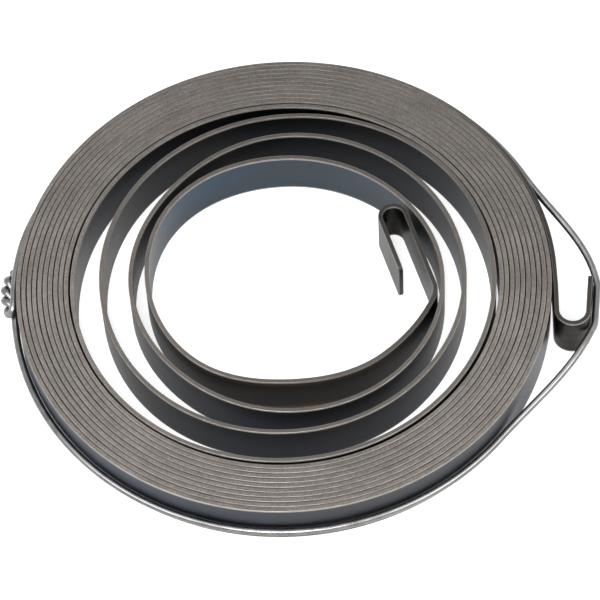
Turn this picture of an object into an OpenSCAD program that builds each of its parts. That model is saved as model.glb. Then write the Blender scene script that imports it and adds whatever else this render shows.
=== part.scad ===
// Recoil starter spring of a small engine.
// A long strip of spring steel stands on its edge and is wound into a flat coil.
// Both ends of the strip are bent into hooks. A loop of tie wire holds the coil wound.
// The axis of the coil is Z, the lower edge of the strip is at Z = 0, the outer hook is at +X.

/* [Strip] */

// height of the strip, which is the height of the coil
strip_height = 8.4; // [7:0.2:12]
// thickness of the strip
strip_thickness = 0.75; // [0.6:0.05:0.85]
// clipped corners at the two cut ends of the strip
end_clip = 0.4; // [0.2:0.1:0.8]

/* [Coil] */

// diameter over the outermost turn, where the outer hook leaves it
coil_diameter = 90; // [84:1:110]
// turns that lie tight against each other
tight_turns = 10.625; // [8.625:1:11.625]
// space between two tight turns
turn_gap = 0.13; // [0.1:0.01:0.2]

/* [Outer hook] */

// inside radius of the bend
outer_hook_radius = 2.25; // [2:0.05:3]
// length of strip from the coil to the bend
outer_hook_leg = 9.4; // [7:0.2:13]
// length of the straight tail after the bend
outer_hook_tail = 7.2; // [5:0.2:8]
// outward lean of the tail in degrees
outer_hook_splay = 9; // [3:1:15]

/* [Inner hook] */

// inside radius of the bend
inner_hook_radius = 1.8; // [1.2:0.1:2.2]
// length of the straight tail after the bend
inner_hook_tail = 10.6; // [7:0.2:13]

/* [Tie wire] */

// diameter of the wire
wire_diameter = 1.2; // [0.8:0.1:1.4]
// space between the wire and what it is tied round
wire_clearance = 0.1; // [0.06:0.02:0.2]
// length of one full turn in the twisted ends, in wire diameters
twist_pitch = 3.3; // [3.2:0.1:4.5]
// turns in the twisted ends
twist_turns = 1.8; // [1.5:0.1:3]

/* [Hidden] */

// a coil is drawn with one flat for each of these angles
flat_angle = 5;
// sides of the drawn wire
wire_sides = 10;

coil_radius = coil_diameter / 2;
turn_pitch = strip_thickness + turn_gap;

// The open turns lie inside the place that a tight turn would take.
// One value for each eighth of a turn, in percent of the coil radius.
open_slack = [
    0, 0.4, 0.6, 0.5, 0.5, 3.5, 6.3, 8.6,
    10.4, 11, 10.9, 9.4, 9.4, 11, 16, 17.8,
    19.4, 17.1, 15.9, 16.2, 18.4, 18.9, 18.3, 21.9,
    24.9, 27.8, 22.7
];
coil_end = 360 * tight_turns + 45 * (len(open_slack) - 1);

// Lead-in from the last open turn to the inner hook, tied to the size of the coil
lead_length = 0.26 * coil_radius;
lead_turn = 20;
crank_radius = 4;
crank_heading = 12;
inner_leg = 0.358 * coil_radius;

// The strip at the outer hook is a little straighter than the coil
outer_leg_turn = outer_hook_leg / (coil_diameter * 4 / 3) * 180 / PI;

function unit(v) = v / norm(v);
function along(a) = [cos(a), sin(a)];
function smooth(u) = let (v = min(1, max(0, u))) v * v * (3 - 2 * v);

// Slack at a place k eighths of a turn along the open turns, as a smooth curve through the list
function knot(i) = let (n = len(open_slack) - 1)
    i < 0 ? 0 : i > n ? 2 * open_slack[n] - open_slack[n - 1] : open_slack[i];
function slack(k) = k <= 0 ? 0 :
    let (
        i = min(floor(k), len(open_slack) - 2),
        u = k - i,
        m1 = (knot(i + 1) - knot(i - 1)) / 2,
        m2 = (knot(i + 2) - knot(i)) / 2
    )
    (2 * u * u * u - 3 * u * u + 1) * knot(i) + (u * u * u - 2 * u * u + u) * m1
    + (3 * u * u - 2 * u * u * u) * knot(i + 1) + (u * u * u - u * u) * m2;

// Middle of the strip: its distance from the axis after a degrees of winding from the outer hook
function turn_radius(a) = coil_radius - strip_thickness / 2 - turn_pitch * a / 360
    - coil_radius * slack(8 * (a / 360 - tight_turns)) / 100;

coil_line = [for (a = [0 : flat_angle : coil_end]) turn_radius(a) * along(a)];

// A bent end, as places with headings: each move is a length and the angle turned along it
function steps(moves) = [for (m = moves)
    let (n = max(1, ceil(abs(m[1]) / 10)))
    for (k = [1 : n]) [m[0] / n, m[1] / n]];
function step(at, s) =
    let (
        half = abs(s[1]) / 2,
        chord = half == 0 ? s[0] : s[0] * sin(half) / (half * PI / 180),
        h = at[2] + s[1] / 2
    )
    [at[0] + chord * cos(h), at[1] + chord * sin(h), at[2] + s[1]];
function bent(at, moves) = let (s = steps(moves))
    [for (i = 0, q = at; i <= len(s); q = i < len(s) ? step(q, s[i]) : q, i = i + 1) q];
function bend(radius, angle) = [PI * radius * abs(angle) / 180, angle];
function places(list) = [for (q = list) [q[0], q[1]]];

// Outer hook, from the coil to the tip of its tail
outer_bend_radius = outer_hook_radius + strip_thickness / 2;
outer_leg = bent([coil_line[0][0], coil_line[0][1], -90], [[outer_hook_leg, -outer_leg_turn]]);
outer_bend_start = outer_leg[len(outer_leg) - 1];
outer_end = bent(outer_bend_start, [
    bend(outer_bend_radius, 180 + outer_leg_turn - outer_hook_splay),
    [outer_hook_tail, 0]
]);
outer_tip = outer_end[len(outer_end) - 1];
outer_bend_centre = [outer_bend_start[0], outer_bend_start[1]]
    + outer_bend_radius * along(outer_bend_start[2] + 90);

// Inner hook, from the last open turn to the tip of its tail
coil_last = coil_line[len(coil_line) - 1];
coil_run = coil_last - coil_line[len(coil_line) - 2];
coil_heading = atan2(coil_run[1], coil_run[0]) + 2;
hook_heading = 90 + crank_heading + coil_end - 315 - 360 * round((coil_end - 315) / 360);
inner_end = bent([coil_last[0], coil_last[1], coil_heading], [
    [lead_length, lead_turn],
    bend(crank_radius, hook_heading - coil_heading - lead_turn),
    [inner_leg, 0],
    bend(inner_hook_radius + strip_thickness / 2, 180),
    [inner_hook_tail, 0]
]);
inner_tip = inner_end[len(inner_end) - 1];

// The whole middle line of the strip, from the outer tip to the inner tip
outer_line = concat(places(outer_leg), [for (i = [1 : len(outer_end) - 1]) [outer_end[i][0], outer_end[i][1]]]);
strip_line = concat(
    [for (i = [len(outer_line) - 1 : -1 : 1]) outer_line[i]],
    coil_line,
    [for (i = [1 : len(inner_end) - 1]) [inner_end[i][0], inner_end[i][1]]]
);
strip_last = len(strip_line) - 1;
function side(i) =
    let (
        before = unit(strip_line[max(1, i)] - strip_line[max(1, i) - 1]),
        after = unit(strip_line[min(strip_last, i + 1)] - strip_line[min(strip_last, i + 1) - 1]),
        mid = unit(before + after)
    )
    [-mid[1], mid[0]] / (mid * before);
strip_outline = concat(
    [for (i = [0 : strip_last]) strip_line[i] + side(i) * strip_thickness / 2],
    [for (i = [strip_last : -1 : 0]) strip_line[i] - side(i) * strip_thickness / 2]
);

// Tie wire: how far its middle lies from the face it is tied round, and how high it lies
lane = wire_diameter / 2 + wire_clearance;
front_level = 0.38 * strip_height;
hook_level = 0.68 * strip_height;
rear_level = 0.76 * strip_height;
back_level = 0.5 * strip_height;
function wall(a) = coil_radius - turn_pitch * a / 360;
function at_level(q, z) = [q[0], q[1], z];

// Straight runs of the wire touch both the coil and the outer hook
function touch(at, radius, coil, way) = atan2(at[1], at[0]) + way * acos((coil - radius) / norm(at));
tail_out = along(outer_tip[2] - 90);
tail_corner = [outer_tip[0], outer_tip[1]] + tail_out * strip_thickness / 2;
hook_lane = outer_hook_radius + strip_thickness + lane;
front_touch = touch(outer_bend_centre, hook_lane, wall(318) + lane, -1);
back_touch = touch(tail_corner, lane, wall(24) + lane, 1);

// These runs are not pulled quite straight: each bows outward from its chord
front_bow = 0.4;
tail_bow = 0.2;
back_bow = 1.3;

// Twisted ends: two strands round one middle line that bulges from the left of the coil
twist_start = 179.7;
twist_radius = wire_diameter / 2 + 0.03;
twist_length = twist_turns * twist_pitch * wire_diameter;
twist_mid = 0.39 * strip_height;
back_lift = wire_diameter;
front_start = twist_start + 5;
function twist_lane(u) = wall(180) + (1.12 + 0.6 * sin(180 * u)) * wire_diameter;
function ring_point(r, a, z) = [r * cos(a), r * sin(a), z];
twist_angle = twist_length / wall(180) * 180 / PI;
function strand(first, u) =
    let (phase = first - 360 * twist_turns * u)
    ring_point(twist_lane(u) + twist_radius * cos(phase), twist_start - twist_angle * u,
        twist_mid + twist_radius * sin(phase));

twist_steps = ceil(twist_turns * 12);
strand_front = [for (k = [twist_steps : -1 : 0]) strand(180, k / twist_steps)];
strand_back = [for (k = [0 : twist_steps]) strand(0, k / twist_steps)];

// From the twist the wire goes along the front of the coil, and out to the hook
twist_inner = twist_lane(0) - twist_radius;
wire_in = [for (k = [1 : 5])
    let (u = smooth(k / 6), a = twist_start + (front_start - twist_start) * k / 6)
    ring_point(twist_inner + (wall(a) + lane - twist_inner) * u, a, twist_mid + (front_level - twist_mid) * u)];
wire_front = [for (a = [front_start : (360 + front_touch - front_start) / 24 : 360.01 + front_touch])
    ring_point(wall(a) + lane, a, front_level)];
front_end = outer_bend_centre + hook_lane * along(front_touch);
front_off = (wall(360 + front_touch) + lane) * along(front_touch);
wire_rise = [for (k = [1 : 4])
    let (u = k / 5, out = 6.75 * u * u * (1 - u) * front_bow)
    at_level(front_off + (front_end - front_off) * u + out * along(front_touch),
        front_level + (hook_level - front_level) * smooth(u))];

// Round the bend of the hook, along its tail and over the tip of the tail
hook_from = front_touch + atan(6.75 * front_bow / norm(front_end - front_off));
wire_hook = [for (k = [0 : 4])
    at_level(outer_bend_centre + hook_lane * along(hook_from - (outer_hook_splay + hook_from) * k / 4), hook_level)];
tail_from = outer_bend_centre + hook_lane * along(-outer_hook_splay);
tail_to = tail_corner + lane * along(-outer_hook_splay);
wire_tail = [for (u = [0.33, 0.67])
    at_level(tail_from + (tail_to - tail_from) * u + tail_bow * along(-outer_hook_splay), hook_level)];
back_from = tail_corner + lane * along(back_touch);
back_to = (wall(back_touch) + lane) * along(back_touch);
tip_to = back_touch - atan(6.75 * back_bow / norm(back_to - back_from));
wire_tip = [for (k = [0 : 2])
    at_level(tail_corner + lane * along(-outer_hook_splay + (tip_to + outer_hook_splay) * k / 2), hook_level)];
wire_off = [for (k = [1 : 5])
    let (u = k / 6, out = 6.75 * u * (1 - u) * (1 - u) * back_bow)
    at_level(back_from + (back_to - back_from) * u + out * along(back_touch),
        hook_level + (rear_level - hook_level) * smooth(u))];

// Behind the coil it comes round to the left, rises, folds over and joins the twist
wire_back = [for (k = [0 : 28])
    let (a = back_touch + (twist_start - back_touch) * k / 28)
    ring_point(wall(a) + lane, a, rear_level + (back_level - rear_level) * smooth((a - back_touch) / 75)
        + back_lift * smooth((a - twist_start + 32) / 18))];
fold_from = [wall(twist_start) + lane, back_level + back_lift];
fold_to = [twist_lane(0) + twist_radius, twist_mid];
fold_reach = norm(fold_to - fold_from) / 2 / fold_from[0] * 180 / PI;
wire_fold = [for (k = [1 : 6])
    let (t = 180 * k / 7, q = fold_from + (fold_to - fold_from) * (1 - cos(t)) / 2)
    ring_point(q[0], twist_start + fold_reach * sin(t), q[1])];

wire_line = concat(strand_front, wire_in, wire_front, wire_rise, wire_hook, wire_tail, wire_tip, wire_off,
    wire_back, wire_fold, strand_back);
wire_last = len(wire_line) - 1;
function wire_heading(i) = unit(
    (i == 0 ? [0, 0, 0] : unit(wire_line[i] - wire_line[i - 1]))
    + (i == wire_last ? [0, 0, 0] : unit(wire_line[i + 1] - wire_line[i])));
function wire_ring(i) =
    let (
        h = wire_heading(i),
        across = unit(cross(h, [0, 0, 1])),
        up = cross(across, h)
    )
    [for (k = [0 : wire_sides - 1])
        wire_line[i] + wire_diameter / 2 * (cos(360 * k / wire_sides) * across + sin(360 * k / wire_sides) * up)];

// One corner of a cut end of the strip, clipped at 45 degrees
module clip_corner(tip, height) {
    translate([tip[0], tip[1], height])
        rotate([0, 0, tip[2]])
            rotate([0, 45, 0])
                cube([end_clip * sqrt(2), 3 * strip_thickness, end_clip * sqrt(2)], center = true);
}

module spring_strip() {
    color([0.40, 0.39, 0.38])
        difference() {
            linear_extrude(strip_height) polygon(strip_outline);
            for (height = [0, strip_height]) {
                clip_corner(outer_tip, height);
                clip_corner(inner_tip, height);
            }
        }
}

module retaining_wire() {
    points = [for (i = [0 : wire_last]) each wire_ring(i)];
    n = wire_sides;
    walls = [for (i = [0 : wire_last - 1], k = [0 : n - 1])
        [i * n + k, i * n + (k + 1) % n, (i + 1) * n + (k + 1) % n, (i + 1) * n + k]];
    first = [[for (k = [n - 1 : -1 : 0]) k]];
    last = [[for (k = [0 : n - 1]) wire_last * n + k]];
    color([0.75, 0.75, 0.76])
        polyhedron(points = points, faces = concat(walls, first, last), convexity = 10);
}

spring_strip();
retaining_wire();
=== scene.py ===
import math

import bmesh
import bpy
from mathutils import Matrix, Vector


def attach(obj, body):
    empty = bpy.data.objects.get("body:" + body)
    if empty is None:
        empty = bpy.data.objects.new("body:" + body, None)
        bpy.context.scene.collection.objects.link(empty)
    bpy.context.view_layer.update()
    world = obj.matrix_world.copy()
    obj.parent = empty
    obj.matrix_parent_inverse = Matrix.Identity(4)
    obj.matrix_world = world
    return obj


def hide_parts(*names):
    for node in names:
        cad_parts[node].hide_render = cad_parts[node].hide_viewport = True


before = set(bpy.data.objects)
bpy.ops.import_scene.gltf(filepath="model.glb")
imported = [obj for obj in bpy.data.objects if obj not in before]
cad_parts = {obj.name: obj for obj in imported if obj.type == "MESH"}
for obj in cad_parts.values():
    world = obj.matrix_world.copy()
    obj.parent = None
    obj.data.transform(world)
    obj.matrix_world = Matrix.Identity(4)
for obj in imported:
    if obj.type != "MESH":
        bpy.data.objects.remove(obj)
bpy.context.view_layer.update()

# Camera: at the photograph's height and distance, above the front of the coil.
# It is a long lens, turned a few degrees about its own axis.
MM = 0.001
LENS_MM = 206.81
CAMERA_TARGET = Vector((2.299, -4.487, 8.374)) * MM
CAMERA_DISTANCE = 567.82 * MM
CAMERA_ELEVATION = math.radians(56.834)
CAMERA_ROLL = math.radians(-3.573)

looking = Vector((0, math.cos(CAMERA_ELEVATION), -math.sin(CAMERA_ELEVATION)))
level_right = Vector((1, 0, 0))
level_up = level_right.cross(looking)
picture_right = level_right * math.cos(CAMERA_ROLL) + level_up * math.sin(CAMERA_ROLL)
picture_up = level_up * math.cos(CAMERA_ROLL) - level_right * math.sin(CAMERA_ROLL)
camera_place = Matrix((picture_right, picture_up, -looking)).transposed().to_4x4()
camera_place.translation = CAMERA_TARGET - looking * CAMERA_DISTANCE

camera_data = bpy.data.cameras.new("camera")
camera_data.lens = LENS_MM
camera_data.sensor_width = 36
camera_data.clip_start = 0.01
camera_data.clip_end = 10
camera = bpy.data.objects.new("camera", camera_data)
camera.matrix_world = camera_place
bpy.context.scene.collection.objects.link(camera)
bpy.context.scene.camera = camera
bpy.context.scene.view_settings.view_transform = "Standard"

# Spring strip: one long strip of hardened spring steel, rolled, slit and tempered to a dark blue.
# It stands on its slit edge and is wound tight from the outside, with looser turns in the eye.
# Both ends are bent into hooks, and the corners of the cut ends are rounded.
STRIP_HEIGHT = 8.4
STRIP_THICKNESS = 0.75
END_ROUND = 0.9
BROKEN_EDGE = 0.1
COIL_RADIUS = 45
TIGHT_TURNS = 10
TURN_GAP = 0.13
TURN_PITCH = STRIP_THICKNESS + TURN_GAP
OUTER_HOOK_RADIUS = 2.25
OUTER_HOOK_LEG = 9.4
OUTER_HOOK_TAIL = 7.2
OUTER_HOOK_SPLAY = 9
# The outer tail leans about a line at this share of its height: its foot goes out and its top in
OUTER_TAIL_LEAN = 0.7
OUTER_TAIL_PIVOT = 0.72
# The strip runs straighter from the last turn to a crank, then along a leg to the inner hook
INNER_LEAD = 13.455
INNER_LEAD_TURN = 26.3
INNER_CRANK_RADIUS = 4
INNER_LEG = 14.805
INNER_LEG_HEADING = 104.6
INNER_HOOK_RADIUS = 1.8
INNER_HOOK_TAIL = 10.6
# How far the loose turns lie inside a tight turn's place, by eighths of a turn, in percent of the radius.
# The first of them only eases off the tight turns, and the rest stand open.
OPEN_SLACK = [
    0, 0.4, 0.5, 0.4, 0.35, 0.35, 0.85, 0.9,
    0.7, 0.6, 3.5, 6.3, 9.2, 9.9, 10.7, 10.4,
    9.6, 9.4, 10.5, 16, 18, 19.4, 17.5, 15.9,
    15.9, 17.9, 18.7, 18.3, 22.3, 24.9, 27.8, 22.7,
]
COIL_END = 360 * TIGHT_TURNS + 45 * (len(OPEN_SLACK) - 1)
COIL_STEP = 1.5
# The tight turns do not lie quite evenly: each wanders a little in or out, by so many waves to a turn
TURN_WANDER = 0.015
WANDER_WAVES = 0.63
WANDER_START = 40


def along(angle, length=1.0):
    """A step of some length in a direction given in degrees."""
    return Vector((math.cos(math.radians(angle)), math.sin(math.radians(angle)))) * length


def smooth(u):
    """Ease from 0 to 1."""
    u = min(1.0, max(0.0, u))
    return u * u * (3 - 2 * u)


def slack(eighths):
    """Slack at a place along the loose turns, on a smooth curve through the list."""
    last = len(OPEN_SLACK) - 1
    if eighths <= 0:
        return 0
    ends = [0] + OPEN_SLACK + [2 * OPEN_SLACK[last] - OPEN_SLACK[last - 1]]
    i = min(int(eighths), last - 1)
    u = eighths - i
    before, here, there, after = ends[i : i + 4]
    rise_here = (there - before) / 2
    rise_there = (after - here) / 2
    return (
        (2 * u**3 - 3 * u**2 + 1) * here
        + (u**3 - 2 * u**2 + u) * rise_here
        + (3 * u**2 - 2 * u**3) * there
        + (u**3 - u**2) * rise_there
    )


def turn_point(angle):
    """Middle of the strip after some degrees of winding from the outer hook."""
    radius = COIL_RADIUS - STRIP_THICKNESS / 2 - TURN_PITCH * angle / 360
    radius -= COIL_RADIUS * slack(8 * (angle / 360 - TIGHT_TURNS)) / 100
    wave = math.sin(math.radians(angle * WANDER_WAVES + WANDER_START))
    return along(angle, radius + TURN_WANDER * wave * smooth(angle / 90))


def bent(start, heading, moves):
    """Places along a bent end: each move is a length and the angle turned along it."""
    places = [start.copy()]
    for length, turn in moves:
        count = max(2, math.ceil(abs(turn) / 3))
        for _ in range(count):
            half = abs(math.radians(turn / count)) / 2
            chord = length / count * (math.sin(half) / half if half else 1)
            places.append(places[-1] + along(heading + turn / count / 2, chord))
            heading += turn / count
    return places


def bend(radius, angle):
    """The move round a bend of some radius."""
    return math.radians(abs(angle)) * radius, angle


# The strip at the outer hook is a good deal straighter than the coil
OUTER_LEG_RADIUS = COIL_RADIUS * 8 / 3
outer_leg_turn = math.degrees(OUTER_HOOK_LEG / OUTER_LEG_RADIUS)
outer_bend_radius = OUTER_HOOK_RADIUS + STRIP_THICKNESS / 2
outer_leg = bent(turn_point(0), -90, [(OUTER_HOOK_LEG, -outer_leg_turn)])
outer_bend_start = outer_leg[-1]
outer_bend_centre = outer_bend_start + along(-outer_leg_turn, outer_bend_radius)
outer_hook = outer_leg + bent(
    outer_bend_start,
    -90 - outer_leg_turn,
    [bend(outer_bend_radius, 180 + outer_leg_turn - OUTER_HOOK_SPLAY), (OUTER_HOOK_TAIL, 0)],
)[1:]

# The strip heads a little further round at its last place than along the last degrees before it
LAST_RUN = 5
LAST_RUN_TURN = 2
coil = [turn_point(COIL_STEP * k) for k in range(int(COIL_END / COIL_STEP) + 1)]
last_run = turn_point(COIL_END) - turn_point(COIL_END - LAST_RUN)
coil_heading = math.degrees(math.atan2(last_run.y, last_run.x)) + LAST_RUN_TURN
inner_hook = bent(
    coil[-1],
    coil_heading,
    [
        (INNER_LEAD, INNER_LEAD_TURN),
        bend(INNER_CRANK_RADIUS, INNER_LEG_HEADING - coil_heading - INNER_LEAD_TURN),
        (INNER_LEG, 0),
        bend(INNER_HOOK_RADIUS + STRIP_THICKNESS / 2, 180),
        (INNER_HOOK_TAIL, 0),
    ],
)
strip_line = outer_hook[:0:-1] + coil + inner_hook[1:]

strip_mesh = bmesh.new()
strip_grain = strip_mesh.loops.layers.uv.new("grain")
strip_row = [strip_mesh.verts.new((p.x * MM, p.y * MM, 0)) for p in strip_line]
strip_run = [0.0]
for here, there in zip(strip_line, strip_line[1:]):
    strip_run.append(strip_run[-1] + (there - here).length * MM)
strip_edges = [strip_mesh.edges.new(pair) for pair in zip(strip_row, strip_row[1:])]
run_of = {v: s for v, s in zip(strip_row, strip_run)}
raised = bmesh.ops.extrude_edge_only(strip_mesh, edges=strip_edges)
raised_verts = [g for g in raised["geom"] if isinstance(g, bmesh.types.BMVert)]
bmesh.ops.translate(strip_mesh, verts=raised_verts, vec=(0, 0, STRIP_HEIGHT * MM))
for v in raised_verts:
    for e in v.link_edges:
        if e.other_vert(v) in run_of and abs(e.other_vert(v).co.z - v.co.z) > MM:
            run_of[v] = run_of[e.other_vert(v)]
            break
for v, place in run_of.items():
    near_tip = 1 - smooth(place / MM / (2 * OUTER_HOOK_TAIL))
    lean = OUTER_TAIL_LEAN * (OUTER_TAIL_PIVOT - v.co.z / MM / STRIP_HEIGHT) * near_tip
    v.co += along(-OUTER_HOOK_SPLAY, lean * MM).to_3d()
for face in strip_mesh.faces:
    face.smooth = True
    for loop in face.loops:
        loop[strip_grain].uv = (run_of[loop.vert], loop.vert.co.z)
bmesh.ops.recalc_face_normals(strip_mesh, faces=strip_mesh.faces)
end_corners = [v for v in strip_mesh.verts if len(v.link_edges) == 2]
bmesh.ops.bevel(
    strip_mesh,
    geom=end_corners,
    offset=END_ROUND * MM,
    segments=4,
    profile=0.5,
    affect="VERTICES",
    material=-1,
)
strip_data = bpy.data.meshes.new("spring_strip_wound")
strip_mesh.to_mesh(strip_data)
strip_mesh.free()
strip = bpy.data.objects.new("spring_strip_wound", strip_data)
bpy.context.scene.collection.objects.link(strip)

thickness = strip.modifiers.new("thickness", "SOLIDIFY")
thickness.thickness = STRIP_THICKNESS * MM
thickness.offset = 0
thickness.use_even_offset = True
thickness.material_offset_rim = 1
broken_edges = strip.modifiers.new("broken_edges", "BEVEL")
broken_edges.width = BROKEN_EDGE * MM
broken_edges.segments = 2
broken_edges.profile = 0.5
broken_edges.limit_method = "ANGLE"
broken_edges.angle_limit = math.radians(50)
broken_edges.harden_normals = True
broken_edges.material = 2


class Tone:
    """One value or colour in a finish's nodes. Signs between tones make Math nodes."""

    def __init__(self, tree, socket):
        self.tree = tree
        self.socket = socket

    def node(self, kind, inputs, out=0, **settings):
        """Any other node, with its settings and inputs, as a new tone."""
        made = self.tree.nodes.new(kind)
        for name, value in settings.items():
            setattr(made, name, value)
        for name, value in inputs.items():
            if isinstance(value, Tone):
                self.tree.links.new(value.socket, made.inputs[name])
            else:
                made.inputs[name].default_value = value
        return Tone(self.tree, made.outputs[out])

    def sum(self, kind, other, turned=False):
        """A Math node of some kind on this tone and another, or turned round."""
        first, second = (other, self) if turned else (self, other)
        return self.node("ShaderNodeMath", {0: first, 1: second}, operation=kind)

    def __add__(self, other):
        return self.sum("ADD", other)

    def __radd__(self, other):
        return self.sum("ADD", other, True)

    def __sub__(self, other):
        return self.sum("SUBTRACT", other)

    def __rsub__(self, other):
        return self.sum("SUBTRACT", other, True)

    def __mul__(self, other):
        return self.sum("MULTIPLY", other)

    def __rmul__(self, other):
        return self.sum("MULTIPLY", other, True)

    def __truediv__(self, other):
        return self.sum("DIVIDE", other)

    def between(self, low, high):
        """0 below low, 1 above high, eased between them."""
        return self.node(
            "ShaderNodeMapRange",
            {"Value": self, "From Min": low, "From Max": high},
            interpolation_type="SMOOTHSTEP",
        )

    def blend(self, first, second):
        """A colour from first to second by this tone."""
        mixed = {"Factor": self, "A": first, "B": second}
        return self.node("ShaderNodeMix", mixed, out="Result", data_type="RGBA")


def finish(name):
    """A new metal finish: its material, its shader and a tone to start from."""
    material = bpy.data.materials.new(name)
    material.use_nodes = True
    shader = material.node_tree.nodes["Principled BSDF"]
    shader.inputs["Metallic"].default_value = 1
    place = material.node_tree.nodes.new("ShaderNodeTexCoord")
    return material, shader, Tone(material.node_tree, place.outputs["Object"])


def join(tone, shader, name):
    """Lead a tone to one input of a shader."""
    tone.tree.links.new(tone.socket, shader.inputs[name])


def roughen(tone, shader, strength, depth):
    """Raise and sink a shader's surface a little by a tone."""
    raised_by = {"Height": tone, "Strength": strength, "Distance": depth}
    join(tone.node("ShaderNodeBump", raised_by, out="Normal"), shader, "Normal")


def strip_map(place):
    """The strip's own map, and from it the run from the outer tip in metres."""
    run = place.node("ShaderNodeUVMap", {}, uv_map="grain")
    return run, run.node("ShaderNodeSeparateXYZ", {"Vector": run})


def mottle(place, scale, detail=3.0, stretch=(1, 1, 1)):
    """Uneven patches, some number of them to the metre."""
    where = place.node("ShaderNodeMapping", {"Vector": place, "Scale": stretch}, vector_type="POINT")
    return place.node("ShaderNodeTexNoise", {"Vector": where, "Scale": scale, "Detail": detail})


def colour(red, green, blue):
    """A colour as the eye reads it, from 0 to 255, for a shader."""
    parts = [v / 255 for v in (red, green, blue)]
    return tuple(v / 12.92 if v < 0.04045 else ((v + 0.055) / 1.055) ** 2.4 for v in parts) + (1.0,)


# Faces of the strip: dark from tempering, with a blue and a straw band near the inner hook.
# Each colour comes in or goes out between two places, in metres from the outer or the inner tip.
OUTER_TURN_OUT = (0.27, 0.33)
OUTER_END_OUT = (0.026, 0.045)
INNER_END_OUT = (0.026, 0.040)
STRAW_IN = (0.030, 0.044)
STRAW_OUT = (0.088, 0.112)
BLUE_IN = (0.092, 0.118)
BLUE_OUT = (0.148, 0.182)
faces, faces_shader, faces_place = finish("blued_spring_steel")
run, from_outer_tip = strip_map(faces_place)
height = run.node("ShaderNodeSeparateXYZ", {"Vector": run}, out="Y") / (STRIP_HEIGHT * MM)
from_inner_tip = strip_run[-1] - from_outer_tip
temper = mottle(run, 9, 2, (1, 3, 1)).between(0.35, 0.65)
streaks = mottle(run, 60, 4, (1, 60, 1))
cloud = mottle(faces_place, 90, 4)
near_edge = (height - 0.5) * (height - 0.5) * 4
outer_turn = 1 - from_outer_tip.between(*OUTER_TURN_OUT)
outer_end = 1 - from_outer_tip.between(*OUTER_END_OUT)
inner_end = 1 - from_inner_tip.between(*INNER_END_OUT)
straw_band = from_inner_tip.between(*STRAW_IN) * (1 - from_inner_tip.between(*STRAW_OUT))
blue_band = from_inner_tip.between(*BLUE_IN) * (1 - from_inner_tip.between(*BLUE_OUT))
slate = temper.blend(colour(32, 33, 35), colour(26, 33, 47))
worn = (streaks * 0.7 + cloud * 0.5 - 0.2).between(0.2, 0.8).blend(slate, colour(48, 46, 45))
tempered = (outer_turn * 0.85).blend(worn, temper.blend(colour(71, 73, 78), colour(59, 66, 81)))
heat_tint = mottle(run, 40, 3, (1, 3, 1)).between(0.35, 0.65)
tempered = blue_band.blend(tempered, heat_tint.blend(colour(62, 68, 73), colour(55, 71, 85)))
tempered = straw_band.blend(tempered, colour(34, 29, 25))
scuffed = (streaks * 0.6 + cloud * 0.4).between(0.35, 0.65)
tempered = outer_end.blend(tempered, scuffed.blend(colour(40, 38, 36), colour(62, 59, 57)))
straw_edge = near_edge.between(0.35, 0.95) * (straw_band * 0.8 + cloud.between(0.5, 0.75) * 0.25)
tempered = straw_edge.blend(tempered, colour(112, 88, 62))
bare = (streaks * 0.5 + cloud * 0.5).between(0.35, 0.65)
tempered = inner_end.blend(tempered, bare.blend(colour(29, 28, 27), colour(50, 48, 47)))
burnished = near_edge.between(0.80, 0.88) * (0.5 + cloud * 0.6)
join(burnished.blend(tempered, colour(158, 153, 148)), faces_shader, "Base Color")
join(1 - burnished * 0.8, faces_shader, "Metallic")
join(streaks * 0.18 + cloud * 0.12 + 0.2, faces_shader, "Roughness")
roughen(streaks, faces_shader, 0.08, 0.0002)

# Slit edges of the strip: bare grey steel with a fine grit, duller on the open turns and the hooks.
OPEN_TURNS_OUT = (0.58, 0.66)
SLIT_OUTER_END_OUT = (0.035, 0.08)
SLIT_INNER_END_OUT = (0.030, 0.06)
slit, slit_shader, slit_place = finish("bare_slit_edge")
slit_run, slit_from_outer_tip = strip_map(slit_place)
slit_from_inner_tip = strip_run[-1] - slit_from_outer_tip
grit = mottle(slit_place, 2600, 4)
patches = mottle(slit_place, 130, 4)
lengthwise = mottle(slit_run, 130, 5, (1, 0, 0))
shade = grit * 0.5 + patches * 0.15 + lengthwise * 0.35
slit_colour = shade.between(0.38, 0.62).blend(colour(104, 99, 94), colour(132, 126, 121))
open_turns = 1 - slit_from_inner_tip.between(*OPEN_TURNS_OUT)
slit_colour = (open_turns * 0.7).blend(slit_colour, colour(92, 88, 84))
off_the_ends = slit_from_outer_tip.between(*SLIT_OUTER_END_OUT)
off_the_ends = off_the_ends * slit_from_inner_tip.between(*SLIT_INNER_END_OUT)
join(off_the_ends.blend(colour(64, 61, 59), slit_colour), slit_shader, "Base Color")
join(grit * 0.2 + patches * 0.15 + 0.3, slit_shader, "Roughness")
slit_shader.inputs["Anisotropic"].default_value = 0.45
roughen(grit, slit_shader, 0.12, 0.0001)

# Broken corners of the strip: rubbed smooth, with a painted highlight on the side that faces out of the
# coil and painted shade on the side that faces in.
# The last value is how far a corner faces from the axis, as its normal times its place in metres.
CORNER_OUTER_END_OUT = (0.03, 0.06)
CORNER_INNER_END_OUT = (0.05, 0.09)
FACING_OUT = (-0.004, 0.008)
corner, corner_shader, corner_place = finish("burnished_corner_painted_highlight")
corner_run, corner_from_outer_tip = strip_map(corner_place)
rub = mottle(corner_run, 40, 4, (1, 0, 0)) * 0.6 + mottle(corner_place, 900, 4) * 0.4
rubbed = rub.between(0.35, 0.65)
facing = corner_place.node("ShaderNodeTexCoord", {}, out="Normal")
sides = {0: facing, 1: corner_place}
outward = facing.node("ShaderNodeVectorMath", sides, out="Value", operation="DOT_PRODUCT")
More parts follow.
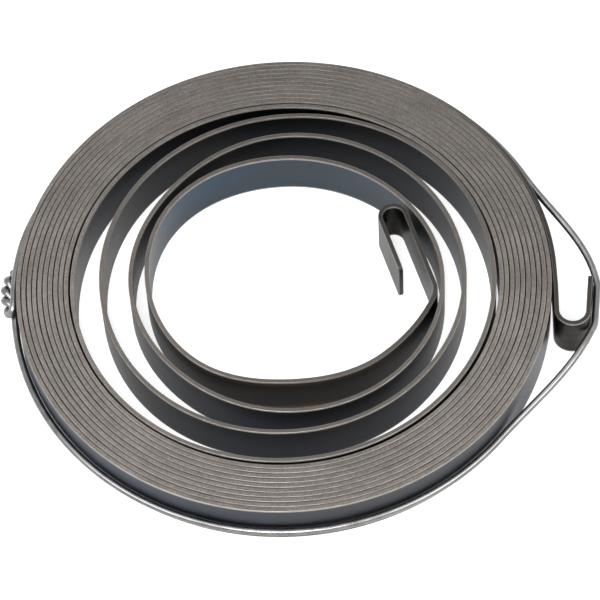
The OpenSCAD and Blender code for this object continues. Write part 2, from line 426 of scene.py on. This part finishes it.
# Painted shade on the corners' inner side and a painted highlight on their outer side, both over the
# rubbed tone.
painted_shade_inner_corner = rubbed.blend(colour(80, 76, 73), colour(112, 107, 103))
painted_highlight_outer_corner = rubbed.blend(colour(110, 105, 101), colour(154, 148, 143))
corner_colour = outward.between(*FACING_OUT).blend(painted_shade_inner_corner, painted_highlight_outer_corner)
off_the_hooks = corner_from_outer_tip.between(*CORNER_OUTER_END_OUT)
corner_from_inner_tip = strip_run[-1] - corner_from_outer_tip
off_the_hooks = off_the_hooks * corner_from_inner_tip.between(*CORNER_INNER_END_OUT)
join(off_the_hooks.blend(colour(84, 81, 78), corner_colour), corner_shader, "Base Color")
join(rub * 0.2 + 0.28, corner_shader, "Roughness")
corner_shader.inputs["Metallic"].default_value = 0.6

strip_data.materials.append(faces)
strip_data.materials.append(slit)
strip_data.materials.append(corner)
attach(strip, "root")
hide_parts("spring_strip")

# Tie wire: soft zinc-plated steel wire, tied once round the coil and the outer hook to hold it wound.
# Its two ends meet at the left of the coil and are twisted together into a short pigtail.
WIRE_DIAMETER = 1.2
WIRE_CLEARANCE = 0.1
WIRE_LANE = WIRE_DIAMETER / 2 + WIRE_CLEARANCE
# Levels of its middle: along the front, at the hook, where it meets the coil again, and at the back
FRONT_LEVEL = 0.36 * STRIP_HEIGHT
HOOK_LEVEL = 0.61 * STRIP_HEIGHT
REAR_LEVEL = 0.72 * STRIP_HEIGHT
BACK_LEVEL = 0.5 * STRIP_HEIGHT
# Its two free runs are not pulled straight: each bows out, most near the hook
FRONT_BOW = 1
BACK_BOW = 1.4
# A bow of u * u * (1 - u) times this is 1 at its highest, and has this slope where it ends
BOW_SCALE = 27 / 4
# Degrees from the outer hook, round the coil, near which the two free runs leave it
FRONT_LEAVES = 318
BACK_LEAVES = 24
# Degrees over which the back of the loop sinks, and over which it rises again before the pigtail
BACK_SINKS_OVER = 75
BACK_RISES_FROM = 32
BACK_RISES_OVER = 18
BACK_LIFT = WIRE_DIAMETER
# Pigtail: its start and turns, the space between its strands, and how it stands off the coil
TWIST_START = 179.7
TWIST_TURNS = 1.8
TWIST_PITCH = 3.3
STRAND_GAP = 0.03
TWIST_RADIUS = WIRE_DIAMETER / 2 + STRAND_GAP
TWIST_MIDDLE = 0.39 * STRIP_HEIGHT
TWIST_STANDOFF = 1.12
TWIST_BULGE = 0.6
FRONT_START = TWIST_START + 5


def wall(angle):
    """Outer face of the outermost turn."""
    return COIL_RADIUS - TURN_PITCH * angle / 360


def at_level(place, z):
    """A place in plan, raised to a level."""
    return Vector((place.x, place.y, z))


def touch(centre, radius, coil_radius, way):
    """Where a straight run of wire touches both the coil and a round of some radius."""
    direction = math.degrees(math.atan2(centre.y, centre.x))
    return direction + way * math.degrees(math.acos((coil_radius - radius) / centre.length))


def steps(first, last, count):
    """Even steps from first to last, both included."""
    return [first + (last - first) * k / count for k in range(count + 1)]


tail_heading = 90 - OUTER_HOOK_SPLAY
tail_corner = outer_hook[-1] + along(tail_heading - 90, STRIP_THICKNESS / 2)
hook_lane = OUTER_HOOK_RADIUS + STRIP_THICKNESS + WIRE_LANE
front_touch = touch(outer_bend_centre, hook_lane, wall(FRONT_LEAVES) + WIRE_LANE, -1)
back_touch = touch(tail_corner, WIRE_LANE, wall(BACK_LEAVES) + WIRE_LANE, 1)
twist_angle = math.degrees(TWIST_TURNS * TWIST_PITCH * WIRE_DIAMETER / wall(180))


def twist_lane(u):
    """Middle of the pigtail, which bulges from the coil between its ends."""
    return wall(180) + (TWIST_STANDOFF + TWIST_BULGE * math.sin(math.pi * u)) * WIRE_DIAMETER


def strand(first, u):
    """A place on one of the two strands of the pigtail."""
    phase = math.radians(first - 360 * TWIST_TURNS * u)
    out = along(TWIST_START - twist_angle * u, twist_lane(u) + TWIST_RADIUS * math.cos(phase))
    return at_level(out, TWIST_MIDDLE + TWIST_RADIUS * math.sin(phase))


wire_line = [strand(180, u) for u in steps(1, 0, 60)]
for u in steps(0, 1, 12)[1:-1]:
    angle = TWIST_START + (FRONT_START - TWIST_START) * u
    inner = twist_lane(0) - TWIST_RADIUS
    reach = inner + (wall(angle) + WIRE_LANE - inner) * smooth(u)
    level = TWIST_MIDDLE + (FRONT_LEVEL - TWIST_MIDDLE) * smooth(u)
    wire_line.append(at_level(along(angle, reach), level))
for angle in steps(FRONT_START, 360 + front_touch, 70):
    wire_line.append(at_level(along(angle, wall(angle) + WIRE_LANE), FRONT_LEVEL))
front_off = along(front_touch, wall(360 + front_touch) + WIRE_LANE)
front_end = outer_bend_centre + along(front_touch, hook_lane)
for u in steps(0, 1, 16)[1:-1]:
    bow = along(front_touch, BOW_SCALE * u * u * (1 - u) * FRONT_BOW)
    place = front_off.lerp(front_end, u) + bow
    wire_line.append(at_level(place, FRONT_LEVEL + (HOOK_LEVEL - FRONT_LEVEL) * smooth(u)))
front_slope = BOW_SCALE * FRONT_BOW / (front_end - front_off).length
hook_from = front_touch + math.degrees(math.atan(front_slope))
for angle in steps(hook_from, -OUTER_HOOK_SPLAY, 12):
    wire_line.append(at_level(outer_bend_centre + along(angle, hook_lane), HOOK_LEVEL))
tail_from = outer_bend_centre + along(-OUTER_HOOK_SPLAY, hook_lane)
tail_to = tail_corner + along(-OUTER_HOOK_SPLAY, WIRE_LANE)
for u in steps(0, 1, 6)[1:-1]:
    wire_line.append(at_level(tail_from.lerp(tail_to, u), HOOK_LEVEL))
back_from = tail_corner + along(back_touch, WIRE_LANE)
back_to = along(back_touch, wall(back_touch) + WIRE_LANE)
back_slope = BOW_SCALE * BACK_BOW / (back_to - back_from).length
tip_to = back_touch - math.degrees(math.atan(back_slope))
for angle in steps(-OUTER_HOOK_SPLAY, tip_to, 4):
    wire_line.append(at_level(tail_corner + along(angle, WIRE_LANE), HOOK_LEVEL))
for u in steps(0, 1, 16)[1:-1]:
    bow = along(back_touch, BOW_SCALE * u * (1 - u) * (1 - u) * BACK_BOW)
    place = back_from.lerp(back_to, u) + bow
    wire_line.append(at_level(place, HOOK_LEVEL + (REAR_LEVEL - HOOK_LEVEL) * smooth(u)))
for angle in steps(back_touch, TWIST_START, 80):
    level = REAR_LEVEL + (BACK_LEVEL - REAR_LEVEL) * smooth((angle - back_touch) / BACK_SINKS_OVER)
    level += BACK_LIFT * smooth((angle - TWIST_START + BACK_RISES_FROM) / BACK_RISES_OVER)
    wire_line.append(at_level(along(angle, wall(angle) + WIRE_LANE), level))
fold_from = Vector((wall(TWIST_START) + WIRE_LANE, BACK_LEVEL + BACK_LIFT))
fold_to = Vector((twist_lane(0) + TWIST_RADIUS, TWIST_MIDDLE))
fold_reach = math.degrees((fold_to - fold_from).length / 2 / fold_from.x)
for swing in steps(0, 180, 12)[1:-1]:
    reach, level = fold_from.lerp(fold_to, (1 - math.cos(math.radians(swing))) / 2)
    angle = TWIST_START + fold_reach * math.sin(math.radians(swing))
    wire_line.append(at_level(along(angle, reach), level))
wire_line += [strand(0, u) for u in steps(0, 1, 60)]

wire_curve = bpy.data.curves.new("tie_wire_route", "CURVE")
wire_curve.dimensions = "3D"
wire_curve.bevel_depth = WIRE_DIAMETER / 2 * MM
wire_curve.bevel_resolution = 6
wire_curve.use_fill_caps = True
route = wire_curve.splines.new("POLY")
route.points.add(len(wire_line) - 1)
for point, place in zip(route.points, wire_line):
    point.co = (*(place * MM), 1)
wire_route = bpy.data.objects.new("tie_wire_route", wire_curve)
bpy.context.scene.collection.objects.link(wire_route)
bpy.context.view_layer.update()
swept = wire_route.evaluated_get(bpy.context.evaluated_depsgraph_get())
wire_data = bpy.data.meshes.new_from_object(swept)
bpy.data.objects.remove(wire_route)
for polygon in wire_data.polygons:
    polygon.use_smooth = True
wire = bpy.data.objects.new("tie_wire", wire_data)
bpy.context.scene.collection.objects.link(wire)

zinc, zinc_shader, zinc_place = finish("bright_zinc")
drawn = mottle(zinc_place, 500, 4)
dull = mottle(zinc_place, 60, 3)
zinc_shade = (drawn * 0.5 + dull * 0.5).between(0.3, 0.7)
join(zinc_shade.blend(colour(120, 120, 120), colour(150, 149, 148)), zinc_shader, "Base Color")
join(drawn * 0.12 + dull * 0.1 + 0.18, zinc_shader, "Roughness")
roughen(drawn, zinc_shader, 0.012, 0.0002)
wire_data.materials.clear()
wire_data.materials.append(zinc)
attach(wire, "root")
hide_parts("retaining_wire")

# Stage: a white floor and white surroundings, with soft lamps over the left, right, back and front.
# The camera and the metal see plain white, and the floor keeps a faint shadow of the coil.
# Under the tight turns the floor's glow is taken out by place, a painted shadow where no light gets
# between them.
FLOOR_SEEN = 0.75
FLOOR_MIRRORED = 0.35
UNLIT_IN = (0.0354, 0.0357)
UNLIT_OUT = (0.0440, 0.0443)
ROOM_LIGHT = 0.55
ROOM_SEEN = 0.45
ROOM_MIRRORED = 0.2
floor_mesh = bmesh.new()
bmesh.ops.create_grid(floor_mesh, x_segments=1, y_segments=1, size=2)
floor_data = bpy.data.meshes.new("floor")
floor_mesh.to_mesh(floor_data)
floor_mesh.free()
floor = bpy.data.objects.new("floor", floor_data)
bpy.context.scene.collection.objects.link(floor)
paper = bpy.data.materials.new("white_paper")
paper.use_nodes = True
paper_tree = paper.node_tree
paper_shader = paper_tree.nodes["Principled BSDF"]
paper_shader.inputs["Base Color"].default_value = (0.5, 0.5, 0.5, 1)
paper_shader.inputs["Roughness"].default_value = 0.9
paper_shader.inputs["Specular IOR Level"].default_value = 0
rays = Tone(paper_tree, paper_tree.nodes.new("ShaderNodeLightPath").outputs["Is Camera Ray"])
glossy = Tone(paper_tree, rays.socket.node.outputs["Is Glossy Ray"])
through = Tone(paper_tree, rays.socket.node.outputs["Is Transmission Ray"])
here = rays.node("ShaderNodeTexCoord", {}, out="Object")
from_axis = here.node("ShaderNodeVectorMath", {0: here}, out="Value", operation="LENGTH")
# Painted shadow: a ring of floor with no glow, under the tight turns.
painted_shadow_under_turns = from_axis.between(*UNLIT_IN) * (1 - from_axis.between(*UNLIT_OUT))
seen = (rays * FLOOR_SEEN + (glossy + through) * FLOOR_MIRRORED) * (1 - painted_shadow_under_turns)
glow = rays.node("ShaderNodeEmission", {"Color": (1, 1, 1, 1), "Strength": seen})
both = rays.node("ShaderNodeAddShader", {0: Tone(paper_tree, paper_shader.outputs["BSDF"]), 1: glow})
paper_tree.links.new(both.socket, paper_tree.nodes["Material Output"].inputs["Surface"])
floor_data.materials.append(paper)

world = bpy.data.worlds.new("white_room")
bpy.context.scene.world = world
world.use_nodes = True
room = world.node_tree
room_rays = Tone(room, room.nodes.new("ShaderNodeLightPath").outputs["Is Camera Ray"])
room_glossy = Tone(room, room_rays.socket.node.outputs["Is Glossy Ray"])
room_through = Tone(room, room_rays.socket.node.outputs["Is Transmission Ray"])
room_strength = room_rays * ROOM_SEEN + (room_glossy + room_through) * ROOM_MIRRORED + ROOM_LIGHT
room.links.new(room_strength.socket, room.nodes["Background"].inputs["Strength"])
room.nodes["Background"].inputs["Color"].default_value = (1, 1, 1, 1)

for lamp_name, place, size, power in (
    ("lamp_left", Vector((-0.5, -0.25, 0.7)), 0.5, 3.8),
    ("lamp_right", Vector((0.5, -0.25, 0.7)), 0.5, 3.8),
    ("lamp_back", Vector((-0.03, 0.06, 0.38)), 0.2, 0.25),
    ("lamp_front", Vector((-0.05, -0.38, 0.46)), 0.2, 2.6),
):
    lamp_data = bpy.data.lights.new(lamp_name, "AREA")
    lamp_data.size = size
    lamp_data.energy = power
    lamp = bpy.data.objects.new(lamp_name, lamp_data)
    lamp.location = place
    lamp.rotation_mode = "QUATERNION"
    lamp.rotation_quaternion = (-place).to_track_quat("-Z", "Y")
    bpy.context.scene.collection.objects.link(lamp)
